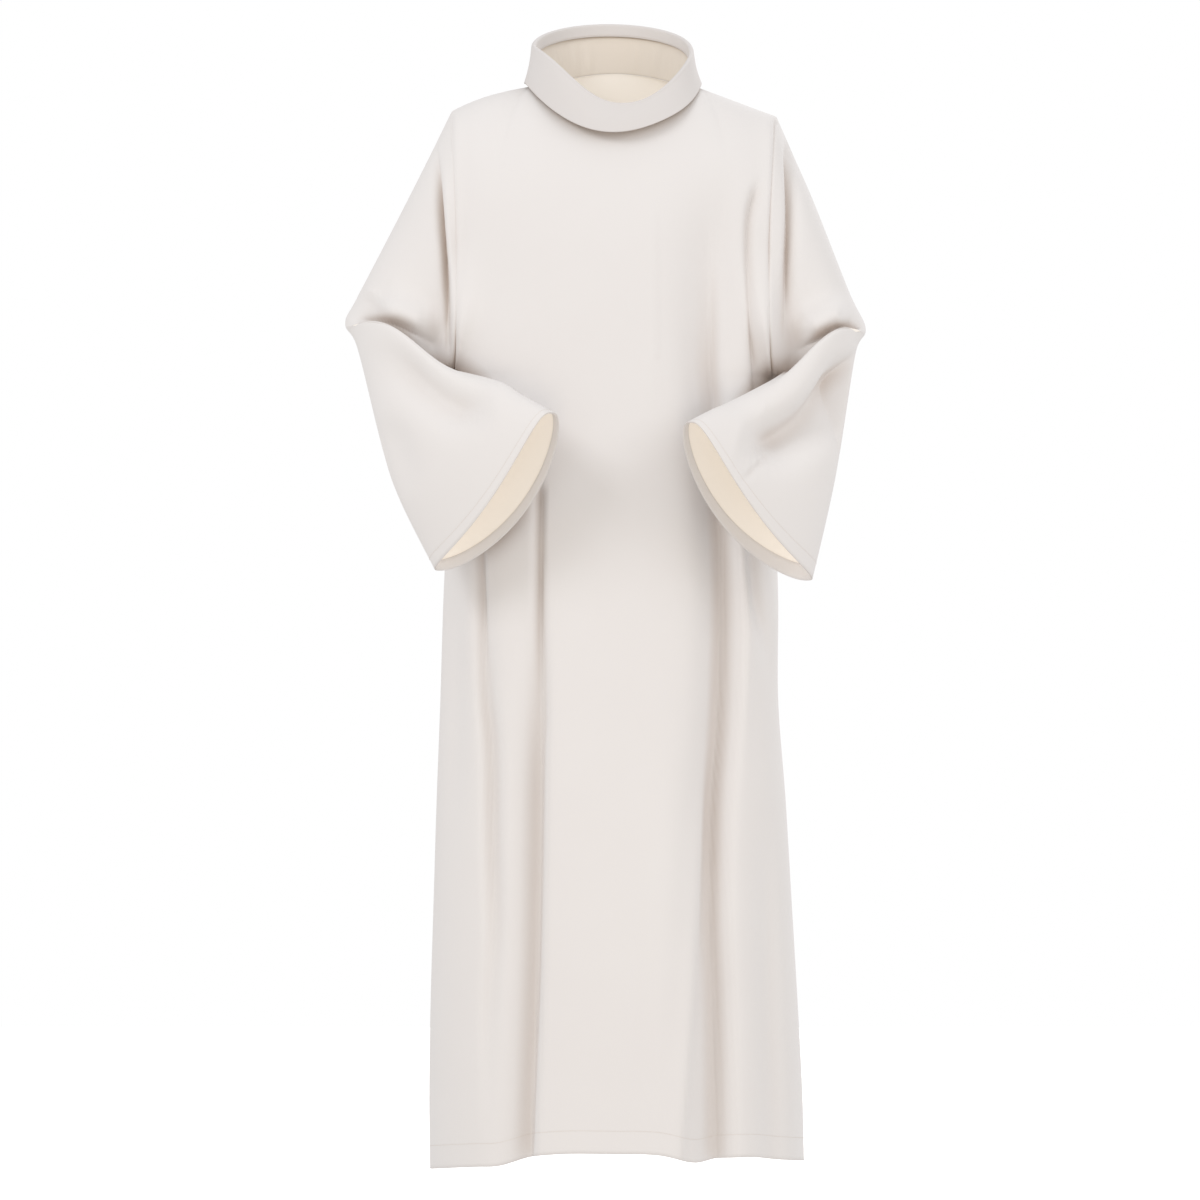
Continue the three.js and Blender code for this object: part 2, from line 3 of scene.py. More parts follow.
import bpy
import numpy as np
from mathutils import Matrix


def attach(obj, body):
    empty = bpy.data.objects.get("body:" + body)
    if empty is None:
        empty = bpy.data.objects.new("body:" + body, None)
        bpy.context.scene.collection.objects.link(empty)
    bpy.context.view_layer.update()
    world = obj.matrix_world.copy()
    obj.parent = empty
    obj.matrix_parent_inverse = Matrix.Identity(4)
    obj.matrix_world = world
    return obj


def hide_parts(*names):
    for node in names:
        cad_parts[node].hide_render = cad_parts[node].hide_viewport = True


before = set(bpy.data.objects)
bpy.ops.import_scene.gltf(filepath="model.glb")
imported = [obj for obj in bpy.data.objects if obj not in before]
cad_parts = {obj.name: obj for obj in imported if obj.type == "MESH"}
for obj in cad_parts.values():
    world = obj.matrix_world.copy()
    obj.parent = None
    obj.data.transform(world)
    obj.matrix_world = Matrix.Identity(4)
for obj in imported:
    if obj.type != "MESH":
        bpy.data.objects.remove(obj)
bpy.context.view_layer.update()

# An alb in the hollow shape it has when it is worn. Sizes are in millimetres and turn to metres
# as a mesh is made. +Z is up, the front faces -Y, and right and left are the wearer's.


# ---- front panel ----
# The front is one length of white polyester crepe from the shoulders to the calf, cut wider towards
# its lower edge. It is sewn to the back along the shoulders and sides, and hangs in a few long folds.

MM = 0.001
CLOTH = 0.9                     # thickness of one layer
OUTER, INNER = CLOTH / 2, -CLOTH / 2
UNDERARM_Z = -389.0
ARMHOLE_DEPTH = 85.0            # of the armhole, forward and back of the shoulder seam
SIDE_FULLNESS_END_Z = -720.0    # below this the side seam is a plain edge
CHEST_POWER = 2.4               # how square the chest's section is between the armholes
FLANK_POWER = 0.9               # the same for the skirt, where 1 is a plain oval
SEAM_GROOVE = 0.5               # how far a seam draws the cloth in, and how far that reaches
SEAM_WIDTH = 2.0
SINK_WIDTH = 4.5                # how far from the armhole the cloth is sunk with its seam
FULL_WIDTH = 32.0               # how far from the armhole the underarm's spare cloth reaches
# the shares of the way down the armhole over which each of these starts and ends
SINK_SPAN = {"starts": (0.02, 0.14), "ends": (0.4, 0.75)}
FULL_SPAN = {"starts": (0.5, 0.75), "ends": (0.9, 1)}
FOLD_FREE = {"side": 40.0, "top": 60.0}     # how far from a seam a fold gets its whole depth
FOLD_MARGIN = 80.0              # how far past its line's box a fold still counts
FOLD_STEPS = 6                  # straight steps for each point of a fold's line
NECK_SHARE = 0.56               # share of the panel's top that is neckline
NECK = {"half_width": 98.0, "front": 93.0, "back": 90.0, "side_z": 8.0,
        "front_drop": 65.0, "back_rise": 27.0}
# x is the end of the shoulder seam, which drops by drop and round on the way there, and inset is how far the
# armhole hollows in. sunk is how deep its seam lies, and full how far the spare cloth above the underarm
# stands forward
SHOULDER = {
    "right": {"x": -219.0, "underarm_x": -215.0, "drop": 20.0, "round": 15.0, "inset": 8.0, "sunk": 4.0,
              "full": 30.0},
    "left": {"x": 219.0, "underarm_x": 213.0, "drop": 42.0, "round": 0.0, "inset": 12.0, "sunk": 12.0,
             "full": 38.0},
}
BODY = np.array([               # z, half width right and left, depth front and back
    (35, 215, 213, 76, 91),
    (-57, 215, 213, 96, 107),
    (-120, 215, 213, 108, 113),
    (-200, 215, 213, 117, 116),
    (-389, 215, 213, 126, 117),
    (-500, 220, 214, 134, 118),
    (-686, 230, 221, 145, 126),
    (-821, 234, 221, 152, 140),
    (-956, 239, 231, 160, 150),
    (-1091, 243, 239, 168, 160),
    (-1226, 247, 247, 176, 169),
    (-1361, 249, 254, 184, 178),
    (-1450, 248, 256, 190, 185),
], float)
# height of the lower edge at places across a panel, from -1 on the right to 1 on the left
HEM_FRONT = np.array([(-1, -1453), (-0.52, -1434), (-0.43, -1431), (-0.33, -1419), (-0.2, -1412),
                      (0, -1411), (0.15, -1413), (0.27, -1424), (0.45, -1420), (0.7, -1430),
                      (1, -1442)], float)
HEM_BACK = np.array([(-1, -1453), (-0.5, -1449), (0, -1446), (0.5, -1444), (1, -1442)], float)

# each fold: its line seen from the front (x, z), its depth, its width on the right hand and on the left hand
# of one who follows the line, and the shares of its length over which it fades in and out
FRONT_FOLDS = [
    {"line": [(-180, -500), (-178, -600), (-177, -700), (-176, -820)],
     "depth": 12, "wide": (10, 4), "fade": (0.1, 0.6)},
    {"line": [(-177, -600), (-176, -793), (-169, -885), (-167, -1013), (-164, -1129), (-169, -1245),
              (-167, -1470)], "depth": 14, "wide": (7, 16), "fade": (0.3, 0.6)},
    {"line": [(-222, -620), (-218, -760), (-216, -900), (-222, -1100)],
     "depth": 9, "wide": (14, 20), "fade": (0.2, 0.6)},
    {"line": [(-98, -520), (-98, -620), (-98, -712), (-99, -860)],
     "depth": 12, "wide": (7, 4), "fade": (0.1, 0.6)},
    {"line": [(-99, -620), (-99, -818), (-102, -897), (-104, -1015), (-105, -1070), (-108, -1186),
              (-113, -1302), (-120, -1470)], "depth": 28, "wide": (30, 9), "fade": (0.4, 0.0)},
    {"line": [(148, -90), (138, -180), (137, -280), (141, -400), (150, -520)],
     "depth": 17, "wide": (50, 24), "fade": (0.35, 0.4)},
    {"line": [(118, -130), (131, -264), (134, -370), (141, -428), (153, -560), (159, -640), (160, -700),
              (156, -839), (143, -962), (139, -1094)], "depth": 34, "wide": (38, 8), "fade": (0.5, 0.4)},
    {"line": [(158, -700), (157, -839), (145, -962), (140, -1094), (144, -1212), (145, -1344), (146, -1470)],
     "depth": 32, "wide": (36, 11), "fade": (0.45, 0.0)},
    {"line": [(134, -839), (122, -962), (112, -1094), (103, -1212), (91, -1344), (80, -1470)],
     "depth": -7, "wide": (16, 8), "fade": (0.3, 0.0)},
    {"line": [(171, -560), (171, -633), (174, -739), (166, -844), (158, -950)],
     "depth": -5, "wide": (9, 14), "fade": (0.3, 0.4)},
    {"line": [(182, -560), (193, -686), (206, -740), (209, -830)],
     "depth": 11, "wide": (13, 9), "fade": (0.3, 0.6)},
    {"line": [(-20, -560), (-14, -800), (2, -1050), (12, -1470)],
     "depth": 5, "wide": (44, 36), "fade": (0.5, 0.0)},
    {"line": [(60, -700), (66, -900), (62, -1150), (50, -1470)],
     "depth": -4, "wide": (30, 26), "fade": (0.5, 0.0)},
    {"line": [(204, -900), (207, -1100), (212, -1300), (214, -1470)],
     "depth": 9, "wide": (20, 12), "fade": (0.5, 0.0)},
    {"line": [(197, -121), (182, -166), (179, -210), (183, -285), (190, -386), (194, -450)],
     "depth": 9, "wide": (6, 9), "fade": (0.1, 0.1), "power": 1.6},
]


def mix(a, b, share):
    """The value that lies at a share of the way from a to b."""
    return a + (b - a) * share


def ease(x, start, end):
    """0 before start, 1 after end, and the cubic 3t^2 - 2t^3 between them."""
    t = np.clip((x - start) / (end - start), 0, 1)
    return t * t * (3 - 2 * t)


def smooth_table(places, values, at):
    """The table's values at any place: a cubic between rows, with the slope at a row that of a parabola
    through the row and its neighbours. values has a column for each quantity."""
    slopes = np.gradient(values, places, axis=0)
    at = np.clip(at, places[0], places[-1])
    row = np.clip(np.searchsorted(places, at, side="right") - 1, 0, len(places) - 2)
    span = (places[row + 1] - places[row])[..., None]
    t = (at - places[row])[..., None] / span
    start = (2 * t ** 3 - 3 * t ** 2 + 1) * values[row] + (t ** 3 - 2 * t ** 2 + t) * span * slopes[row]
    end = (3 * t ** 2 - 2 * t ** 3) * values[row + 1] + (t ** 3 - t ** 2) * span * slopes[row + 1]
    return start + end


def body_size(z):
    """Half width on the right and left, and depth in front and behind, at a height."""
    return np.moveaxis(smooth_table(-BODY[:, 0], BODY[:, 1:], -z), -1, 0)


def neck_ring(angle, half_width, front, back, side_z, front_drop, back_rise, power=1.7):
    """An oval round the neck: x is the sine of the angle from the front, y its cosine, and z leaves
    the sides' height as a power of the cosine, down in front and up behind."""
    forward = np.cos(angle)
    reach = np.abs(forward) ** power
    return np.stack([
        half_width * np.sin(angle),
        np.where(forward > 0, -front * forward, -back * forward),
        side_z + np.where(forward > 0, -front_drop, back_rise) * reach,
    ], -1)


def unit(vectors):
    """The vectors, one long."""
    return vectors / np.maximum(np.linalg.norm(vectors, axis=-1, keepdims=True), 1e-9)


def neckline_rise(angle):
    """How steeply the cloth faces up at the neckline: 1 at the sides, 0.4 in front and 0.6 behind."""
    forward = np.cos(angle)
    return 1 - 0.6 * np.maximum(0, forward) - 0.4 * np.maximum(0, -forward)


def neckline_normal(angle):
    """The way that both pieces face at the neckline: out, and up by its rise."""
    return unit(np.stack([np.sin(angle), -np.cos(angle), neckline_rise(angle)], -1))


def armhole_normal(side, angle, face):
    """The way that both pieces face at the armhole: round its ring, and outwards at the underarm."""
    outward = np.sign(SHOULDER[side]["x"])
    corner = np.maximum(0, -np.cos(angle)) ** 2
    return unit(np.stack([outward * corner, face * np.sin(angle), np.cos(angle)], -1))


def grid_normals(points, closed):
    """Unit normals of a grid: the way down the rows crossed with the way across the columns."""
    down = np.gradient(points, axis=0)
    if closed:
        across = np.roll(points, -1, axis=1) - np.roll(points, 1, axis=1)
    else:
        across = np.gradient(points, axis=1)
    return unit(np.cross(down, across))


def along(points, axis):
    """Distance over the cloth from the grid's first row or column."""
    steps = np.linalg.norm(np.diff(points, axis=axis), axis=-1)
    start = np.zeros_like(np.take(steps, [0], axis=axis))
    return np.concatenate([start, np.cumsum(steps, axis=axis)], axis=axis)


def armhole_sink(side, share, distance):
    """How deep the cloth lies at a share of the way down the armhole and a distance from its seam: the depth
    comes and goes down the armhole, times exp(-(distance/width)^1.5)."""
    depth = SHOULDER[side]["sunk"] * ease(share, *SINK_SPAN["starts"]) * (1 - ease(share, *SINK_SPAN["ends"]))
    return depth * np.exp(-(distance / SINK_WIDTH) ** 1.5)


def underarm_fullness(side, share, distance):
    """How far forward the spare cloth above the underarm stands at a share of the way down the armhole and a
    distance from its seam: a height that comes and goes down the armhole, times exp(-(distance/width)^2)."""
    down = ease(share, *FULL_SPAN["starts"]) * (1 - ease(share, *FULL_SPAN["ends"]))
    return SHOULDER[side]["full"] * down * np.exp(-(distance / FULL_WIDTH) ** 2)


def fold_push(points, folds):
    """How far the folds push the cloth in: the sum, over the folds, of depth times exp(-(d/width)^power).
    d is the distance from the fold's line in the front view, and each side of the line has its own width. A
    power of 2 gives a round trough and one near 1 a sharp crease. A negative depth is a ridge."""
    x, z = points[..., 0], points[..., 2]
    push = np.zeros_like(x)
    for fold in folds:
        knots = np.array(fold["line"], float)
        t = np.arange(len(knots), dtype=float)
        fine = smooth_table(t, knots, np.linspace(0, len(knots) - 1, FOLD_STEPS * len(knots)))
        low, high = fine.min(0) - FOLD_MARGIN, fine.max(0) + FOLD_MARGIN
        near = (x > low[0]) & (x < high[0]) & (z > low[1]) & (z < high[1])
        place = np.stack([x[near], z[near]], -1)
        start, step = fine[:-1], np.diff(fine, axis=0)
        length = np.linalg.norm(step, axis=1)
        offset = place[:, None] - start[None]
        share = np.clip((offset * step).sum(-1) / length ** 2, 0, 1)
        gap = offset - share[..., None] * step
        distance = np.linalg.norm(gap, axis=-1)
        best = distance.argmin(1)
        pick = np.arange(len(best))
        distance, share = distance[pick, best], share[pick, best]
        travelled = (np.concatenate([[0], np.cumsum(length)])[best] + share * length[best]) / length.sum()
        cross = step[best, 0] * offset[pick, best, 1] - step[best, 1] * offset[pick, best, 0]
        width = np.where(cross > 0, fold["wide"][1], fold["wide"][0])
        start_share, end_share = fold["fade"]
        reach = np.ones_like(travelled)
        if start_share:
            reach = reach * ease(travelled, 0, start_share)
        if end_share:
            reach = reach * (1 - ease(travelled, 1 - end_share, 1))
        push[near] += fold["depth"] * reach * np.exp(-(distance / width) ** fold.get("power", 2))
    return push


def panel_surface(face, hem, across, down):
    """The middle of the cloth of a panel. across runs from -1 on the right to 1 on the left. down runs from 0
    at the neck and shoulders to 1 at the underarm, as half a turn of the armhole, and to 2 at the lower edge.
    In a row the depth goes from the row's ends to its middle as a cosine, and the top row bends it in."""
    u = across[None, :]
    side = np.where(u < 0, 0, 1)
    shoulder = {key: np.array([SHOULDER["right"][key], SHOULDER["left"][key]])[side]
                for key in SHOULDER["left"]}
    column = 2 if face < 0 else 3
    bow = np.cos(u * np.pi / 2) ** FLANK_POWER

    turn = np.clip(u / NECK_SHARE, -1, 1) * np.pi / 2
    ring = neck_ring(turn if face < 0 else np.pi - turn, **NECK)
    s = np.clip((np.abs(u) - NECK_SHARE) / (1 - NECK_SHARE), 0, 1)
    on_neck = np.abs(u) <= NECK_SHARE
    seam_z = NECK["side_z"] - shoulder["drop"] * s - shoulder["round"] * s ** 3
    top_x = np.where(on_neck, ring[..., 0], mix(np.sign(u) * NECK["half_width"], shoulder["x"], s))
    top_y = np.where(on_neck, ring[..., 1], 0)
    top_z = np.where(on_neck, ring[..., 2], seam_z)

    upper = down[down <= 1][:, None]
    angle = np.pi * upper
    share = (1 - np.cos(angle)) / 2
    # the section is squarest at the chest, and a plain oval again at the shoulder and the underarm
    flat = np.sin(angle) ** 0.7 * (1 - ease(share, 0.7, 1))
    bow = mix(bow, 1 - np.abs(np.sin(u * np.pi / 2)) ** CHEST_POWER, flat)
    settled = np.sin(np.minimum(angle, np.pi / 2))
    z = mix(top_z, UNDERARM_Z, share)
    middle = face * body_size(z)[column]
    side_depth = face * ARMHOLE_DEPTH * mix(settled, np.sin(angle), u ** 2)
    plain = side_depth + (middle - side_depth) * bow
    plain_top = face * body_size(top_z)[column] * bow
    y = plain + (top_y - plain_top) * (1 - settled)
    width = np.abs(shoulder["underarm_x"]) - shoulder["inset"] * np.sin(angle)
    # only the cloth next to the armhole keeps to its curve all the way down
    x = mix(top_x, width * np.sin(u * np.pi / 2), mix(settled, share, np.abs(u) ** 8))
    above = np.stack([x, y, z], -1)

    lower = down[down > 1][:, None] - 1
    z = mix(UNDERARM_Z, smooth_table(hem[:, 0], hem[:, 1:], u)[..., 0], lower)
    sizes = body_size(z)
    x = np.where(u < 0, sizes[0], sizes[1]) * np.sin(u * np.pi / 2)
    fullness = 1 - ease(-z, -UNDERARM_Z, -SIDE_FULLNESS_END_Z)
    side_depth = ARMHOLE_DEPTH * fullness * (1 - u ** 2)
    y = face * (side_depth + (sizes[column] - side_depth) * np.cos(u * np.pi / 2) ** FLANK_POWER)
    below = np.stack([x, y, z], -1)
    return np.concatenate([above, below])


SEAM_STEPS = np.array([0, 0.004, 0.008, 0.013, 0.02])      # the grid's places next to a panel's seam
PANEL_COLUMNS = 133
PANEL_ROWS = {"shoulder": 46, "armhole": 40, "skirt": 190}


def panel_grid():
    """Places across and down a panel, closer together where it is sewn and round the shoulders."""
    seam = 1 - SEAM_STEPS
    across = np.concatenate([-seam, np.linspace(-0.97, 0.97, PANEL_COLUMNS), seam[::-1]])
    shoulder = np.linspace(0, 0.5, PANEL_ROWS["shoulder"])[1:-1]
    to_underarm = np.arccos(1 - 2 * np.linspace(0.5, 1, PANEL_ROWS["armhole"])) / np.pi
    to_hem = 1 + np.linspace(0, 1, PANEL_ROWS["skirt"])[1:]
    return across, np.concatenate([SEAM_STEPS[:3], shoulder, to_underarm, to_hem])


EDGE_ROUND = 0.35               # how far a cut edge bulges, as a share of the cloth's thickness


def cloth_shell(name, middle, normals, closed, outer, inner):
    """A closed shell round a grid of points: its faces lie at outer and inner along the normals, and a
    rounded edge joins them. The UV map holds the distances over the cloth, in metres. Material 0 is outside,
    and closed says that the last column meets the first."""
    count = middle.shape[0] * middle.shape[1]
    ids = np.arange(count).reshape(middle.shape[:2])
    wide, wide_middle = ids, middle
    if closed:
        wide = np.concatenate([ids, ids[:, :1]], axis=1)
        wide_middle = np.concatenate([middle, middle[:, :1]], axis=1)
    places = np.stack([along(wide_middle, 1), along(wide_middle, 0)], -1)

    def corners(grid, order):
        four = [grid[:-1, :-1], grid[1:, :-1], grid[1:, 1:], grid[:-1, 1:]]
        return np.stack([four[i] for i in order], 2).reshape(-1, 4, *grid.shape[2:])

    outside, inside = corners(wide, (0, 1, 2, 3)), corners(wide, (0, 3, 2, 1)) + count
    uv = [corners(places, (0, 1, 2, 3)), corners(places, (0, 3, 2, 1))]
    if closed:
        loops = [(wide[0], places[0]), (wide[-1][::-1], places[-1][::-1])]
    else:
        loops = [tuple(np.concatenate([grid[0, :-1], grid[:-1, -1], grid[-1, :0:-1], grid[::-1, 0]])
                       for grid in (wide, places))]
    points, faces = [middle + normals * outer, middle + normals * inner], [outside, inside]
    points = [layer.reshape(-1, 3) for layer in points]
    next_id = 2 * count
    for loop, loop_places in loops:
        start, end = loop[:-1], loop[1:]
        at = (points[0][start] + points[1][start]) / 2
        ahead = unit(np.roll(at, -1, axis=0) - np.roll(at, 1, axis=0))
        out = unit(np.cross(normals.reshape(-1, 3)[start], ahead))
        points.append(at + out * (outer - inner) * EDGE_ROUND)
        edge = next_id + np.arange(len(start))
        edge_end = np.roll(edge, -1)
        next_id += len(start)
        faces += [np.stack([start, end, edge_end, edge], -1),
                  np.stack([edge, edge_end, end + count, start + count], -1)]
        uv += [np.stack([loop_places[:-1], loop_places[1:], loop_places[1:], loop_places[:-1]], 1)] * 2
    points, faces, uv = np.concatenate(points) * MM, np.concatenate(faces), np.concatenate(uv) * MM

    mesh = bpy.data.meshes.new(name)
    mesh.vertices.add(len(points))
    mesh.vertices.foreach_set("co", points.astype(np.float32).ravel())
    mesh.loops.add(faces.size)
    mesh.loops.foreach_set("vertex_index", faces.astype(np.int32).ravel())
    mesh.polygons.add(len(faces))
    mesh.polygons.foreach_set("loop_start", np.arange(0, faces.size, 4, dtype=np.int32))
    face_ids = np.arange(len(faces))
    is_inside = (face_ids >= len(outside)) & (face_ids < 2 * len(outside))
    mesh.polygons.foreach_set("material_index", is_inside.astype(np.int32))
    layer = mesh.uv_layers.new(name="cloth")
    layer.data.foreach_set("uv", uv.astype(np.float32).ravel())
    mesh.update(calc_edges=True)
    mesh.shade_smooth()
    piece = bpy.data.objects.new(name, mesh)
    bpy.context.scene.collection.objects.link(piece)
    return piece


def linear(colour):
    """The linear red, green, blue and alpha of an sRGB hex colour."""
    parts = np.array([int(colour[i:i + 2], 16) for i in (1, 3, 5)]) / 255
    parts = np.where(parts <= 0.04045, parts / 12.92, ((parts + 0.055) / 1.055) ** 2.4)
    return (*parts, 1.0)


def add_node(tree, kind, settings=None, **inputs):
    """Adds a node, sets its properties, and sets or links its inputs. An underscore stands for a space."""
    node = tree.nodes.new(kind)
    for key, value in (settings or {}).items():
        setattr(node, key, value)
    for key, value in inputs.items():
        socket = node.inputs[key.replace("_", " ")]
        if isinstance(value, bpy.types.NodeSocket):
            tree.links.new(value, socket)
        else:
            socket.default_value = value
    return node


THREAD_PITCH = 0.0012           # in metres; the real 0.5 mm is too fine to show, so it is drawn coarser
TONE_PATCH = 1 / 7.0            # in metres: the size of the slow changes between the two tones
THREAD_RELIEF = 0.0002          # in metres: how far a thread stands up
FOLD_SHADE_REACH = 0.03         # in metres: how near other cloth is where the painted fold shade starts
FOLD_OPEN = (0.3, 0.95)         # how much of its surroundings is open deep in a fold, where the painted shade is whole, and on flat cloth, where it ends


def crepe(name, light, shade, fold, bump, glow=0.0):
    """A matt polyester crepe: short crimped threads that scatter light evenly, so there is no gloss, only a
    faint sheen at grazing angles. Its colour changes slowly at random between two tones. Deep in a fold,
    where other cloth is near, it is mixed towards a darker, warmer fold colour: painted shade. Any glow is
    painted light."""
    material = bpy.data.materials.new(name)
    material.use_nodes = True
    tree = material.node_tree
    tree.nodes.clear()
    places = add_node(tree, "ShaderNodeTexCoord")
    slow = add_node(tree, "ShaderNodeTexNoise", Vector=places.outputs["Object"], Scale=1 / TONE_PATCH,
                    Detail=3.0)
    tone = add_node(tree, "ShaderNodeMix", {"data_type": "RGBA"}, Factor=slow.outputs["Fac"])
    tone.inputs[6].default_value = linear(light)
    tone.inputs[7].default_value = linear(shade)
    # painted shade: where other cloth is near, the colour is mixed towards the darker, warmer fold colour
    deep = add_node(tree, "ShaderNodeAmbientOcclusion", {"samples": 6}, Distance=FOLD_SHADE_REACH)
    depth = add_node(tree, "ShaderNodeMapRange", Value=deep.outputs["AO"])
    depth.inputs["From Min"].default_value = FOLD_OPEN[0]
    depth.inputs["From Max"].default_value = FOLD_OPEN[1]
    painted_fold_shade = add_node(tree, "ShaderNodeMix", {"data_type": "RGBA"}, Factor=depth.outputs["Result"])
    painted_fold_shade.inputs[6].default_value = linear(fold)
    tree.links.new(tone.outputs[2], painted_fold_shade.inputs[7])
    threads = add_node(tree, "ShaderNodeTexNoise", Vector=places.outputs["UV"], Scale=1 / THREAD_PITCH,
                       Detail=2.0)
    relief = add_node(tree, "ShaderNodeBump", Strength=bump, Distance=THREAD_RELIEF,
                      Height=threads.outputs["Fac"])
    shader = add_node(tree, "ShaderNodeBsdfPrincipled", Base_Color=painted_fold_shade.outputs[2], Roughness=0.9,
                      Sheen_Weight=0.15, Sheen_Roughness=0.5, Normal=relief.outputs["Normal"])
    shader.inputs["Specular IOR Level"].default_value = 0.25
    # painted light: a glow in the light tone, on cloth that is no lamp
    shader.inputs["Emission Color"].default_value = linear(light)
    shader.inputs["Emission Strength"].default_value = glow
    add_node(tree, "ShaderNodeOutputMaterial", Surface=shader.outputs["BSDF"])
    return material


# the third colour of each crepe is painted shade, mixed in deep in folds
CREPE = crepe("polyester_crepe_right_side", "#E5E3E2", "#E2DFDE", "#C6BAB1", 0.25)
# painted light: the wrong side is lighter and warmer than the right side and glows a little, for the light
# that comes through the thin single layer to the inside
CREPE_INSIDE_PAINTED_LIGHT = crepe("polyester_crepe_wrong_side_painted_light", "#F0EBE4", "#EBE5DC", "#E3D9CC", 0.3, 0.17)


def normals_with_seams(middle, seam_normals):
    """The grid's own normals, with the seam ones kept round its border."""
    normals = grid_normals(middle, False)
    for border in ((0, slice(None)), (slice(None), 0), (slice(None), -1)):
        normals[border] = seam_normals[border]
    return normals


def panel(face, hem, folds):
    """Points and normals of a panel with its folds and seams: each point goes in along its normal by the
    folds, the sunk armhole and a narrow groove at every seam, and the front's underarms stand forward."""
    across, down = panel_grid()
    middle = panel_surface(face, hem, across, down)
    first, last = "right", "left"
    if face > 0:
        middle = middle[:, ::-1]
        across = -across[::-1]
        first, last = last, first
    normals = grid_normals(middle, False)
    upper = down <= 1
    for column, side in ((0, first), (-1, last)):
        normals[upper, column] = armhole_normal(side, np.pi * down[upper], face)
        normals[~upper, column, 1] = 0
    on_neck = np.abs(across) <= NECK_SHARE
    normals[0, ~on_neck, 1] = 0
    turn = across[on_neck] / NECK_SHARE * np.pi / 2
    normals[0, on_neck] = neckline_normal(turn if face < 0 else np.pi + turn)
    normals = unit(normals)

    from_first = along(middle, 1)
    from_last = from_first[:, -1:] - from_first
    to_side, to_top = np.minimum(from_first, from_last), along(middle, 0)
    free = ease(to_side, 0, FOLD_FREE["side"]) * ease(to_top, 0, FOLD_FREE["top"])
    push = fold_push(middle, folds) * free
    armholes = ((first, from_first), (last, from_last))
    for side, distance in armholes:
        push = push + armhole_sink(side, down[:, None], distance)
    groove = SEAM_GROOVE * (np.exp(-(to_side / SEAM_WIDTH) ** 2) + np.exp(-(to_top / SEAM_WIDTH) ** 2))
    middle = middle - normals * (push + groove)[..., None]
    if face < 0:
        for side, distance in armholes:
            middle[..., 1] -= underarm_fullness(side, down[:, None], distance)
    return middle, normals_with_seams(middle, normals)


front_middle, front_normals = panel(-1, HEM_FRONT, FRONT_FOLDS)
front = cloth_shell("front_panel", front_middle, front_normals, False, OUTER, INNER)
front.data.materials.append(CREPE)
front.data.materials.append(CREPE_INSIDE_PAINTED_LIGHT)
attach(front, "root")
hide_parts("front")


# ---- back panel ----
# The back is one length of the same crepe, cut like the front with a higher neck. It is sewn to the
# front along the shoulders and sides, and hangs in four long folds from below the shoulders.

BACK_FOLDS = [
    {"line": [(-110, -330), (-120, -700), (-134, -1000), (-150, -1470)],
     "depth": 24, "wide": (24, 12), "fade": (0.35, 0.0)},
    {"line": [(-50, -420), (-56, -800), (-64, -1150), (-70, -1470)],
     "depth": 14, "wide": (12, 24), "fade": (0.5, 0.0)},
    {"line": [(72, -250), (76, -600), (80, -1000), (86, -1470)],
     "depth": 20, "wide": (26, 11), "fade": (0.4, 0.0)},
    {"line": [(136, -480), (142, -800), (156, -1150), (170, -1470)],
     "depth": 22, "wide": (13, 24), "fade": (0.3, 0.0)},
]
back_middle, back_normals = panel(1, HEM_BACK, BACK_FOLDS)
back = cloth_shell("back_panel", back_middle, back_normals, False, OUTER, INNER)
back.data.materials.append(CREPE)
back.data.materials.append(CREPE_INSIDE_PAINTED_LIGHT)
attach(back, "root")
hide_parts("back")


# ---- sleeves ----
# Each sleeve is one wide bell of the same crepe, closed by a seam under the arm. It hangs from the
# armhole, tucks in at the crook of the elbow, rolls over the forearm and falls open to a slanted cuff.

SLEEVE_FOLD_FREE = 20.0         # how far from the armhole a fold gets its whole depth
SLEEVE_GRID_COLUMNS = {"front": 127, "back": 65}
SLEEVE_SEAM_ROWS = [0, 0.012, 0.025]
# the rest of the sleeve's grid: from a station, to a station, and the number of rows
SLEEVE_SPANS = [(0.04, 0.6, 34), (0.6, 2, 30), (2, 4.2, 112), (4.2, 7, 62)]
FACES_FORWARD = (0.0, 0.3)      # how far forward cloth faces where folds start, and where they are whole
UPPER_ARM_ENDS = (2.5, 3.2)     # the stations between which the upper arm's spare cloth fades out
CUFF_BLUNT = {"stations": (4.5, 7), "power": 0.75}      # towards the cuff the section's ends are blunt
LIFT_POWER = 2.2                # how narrow the rise over the forearm is
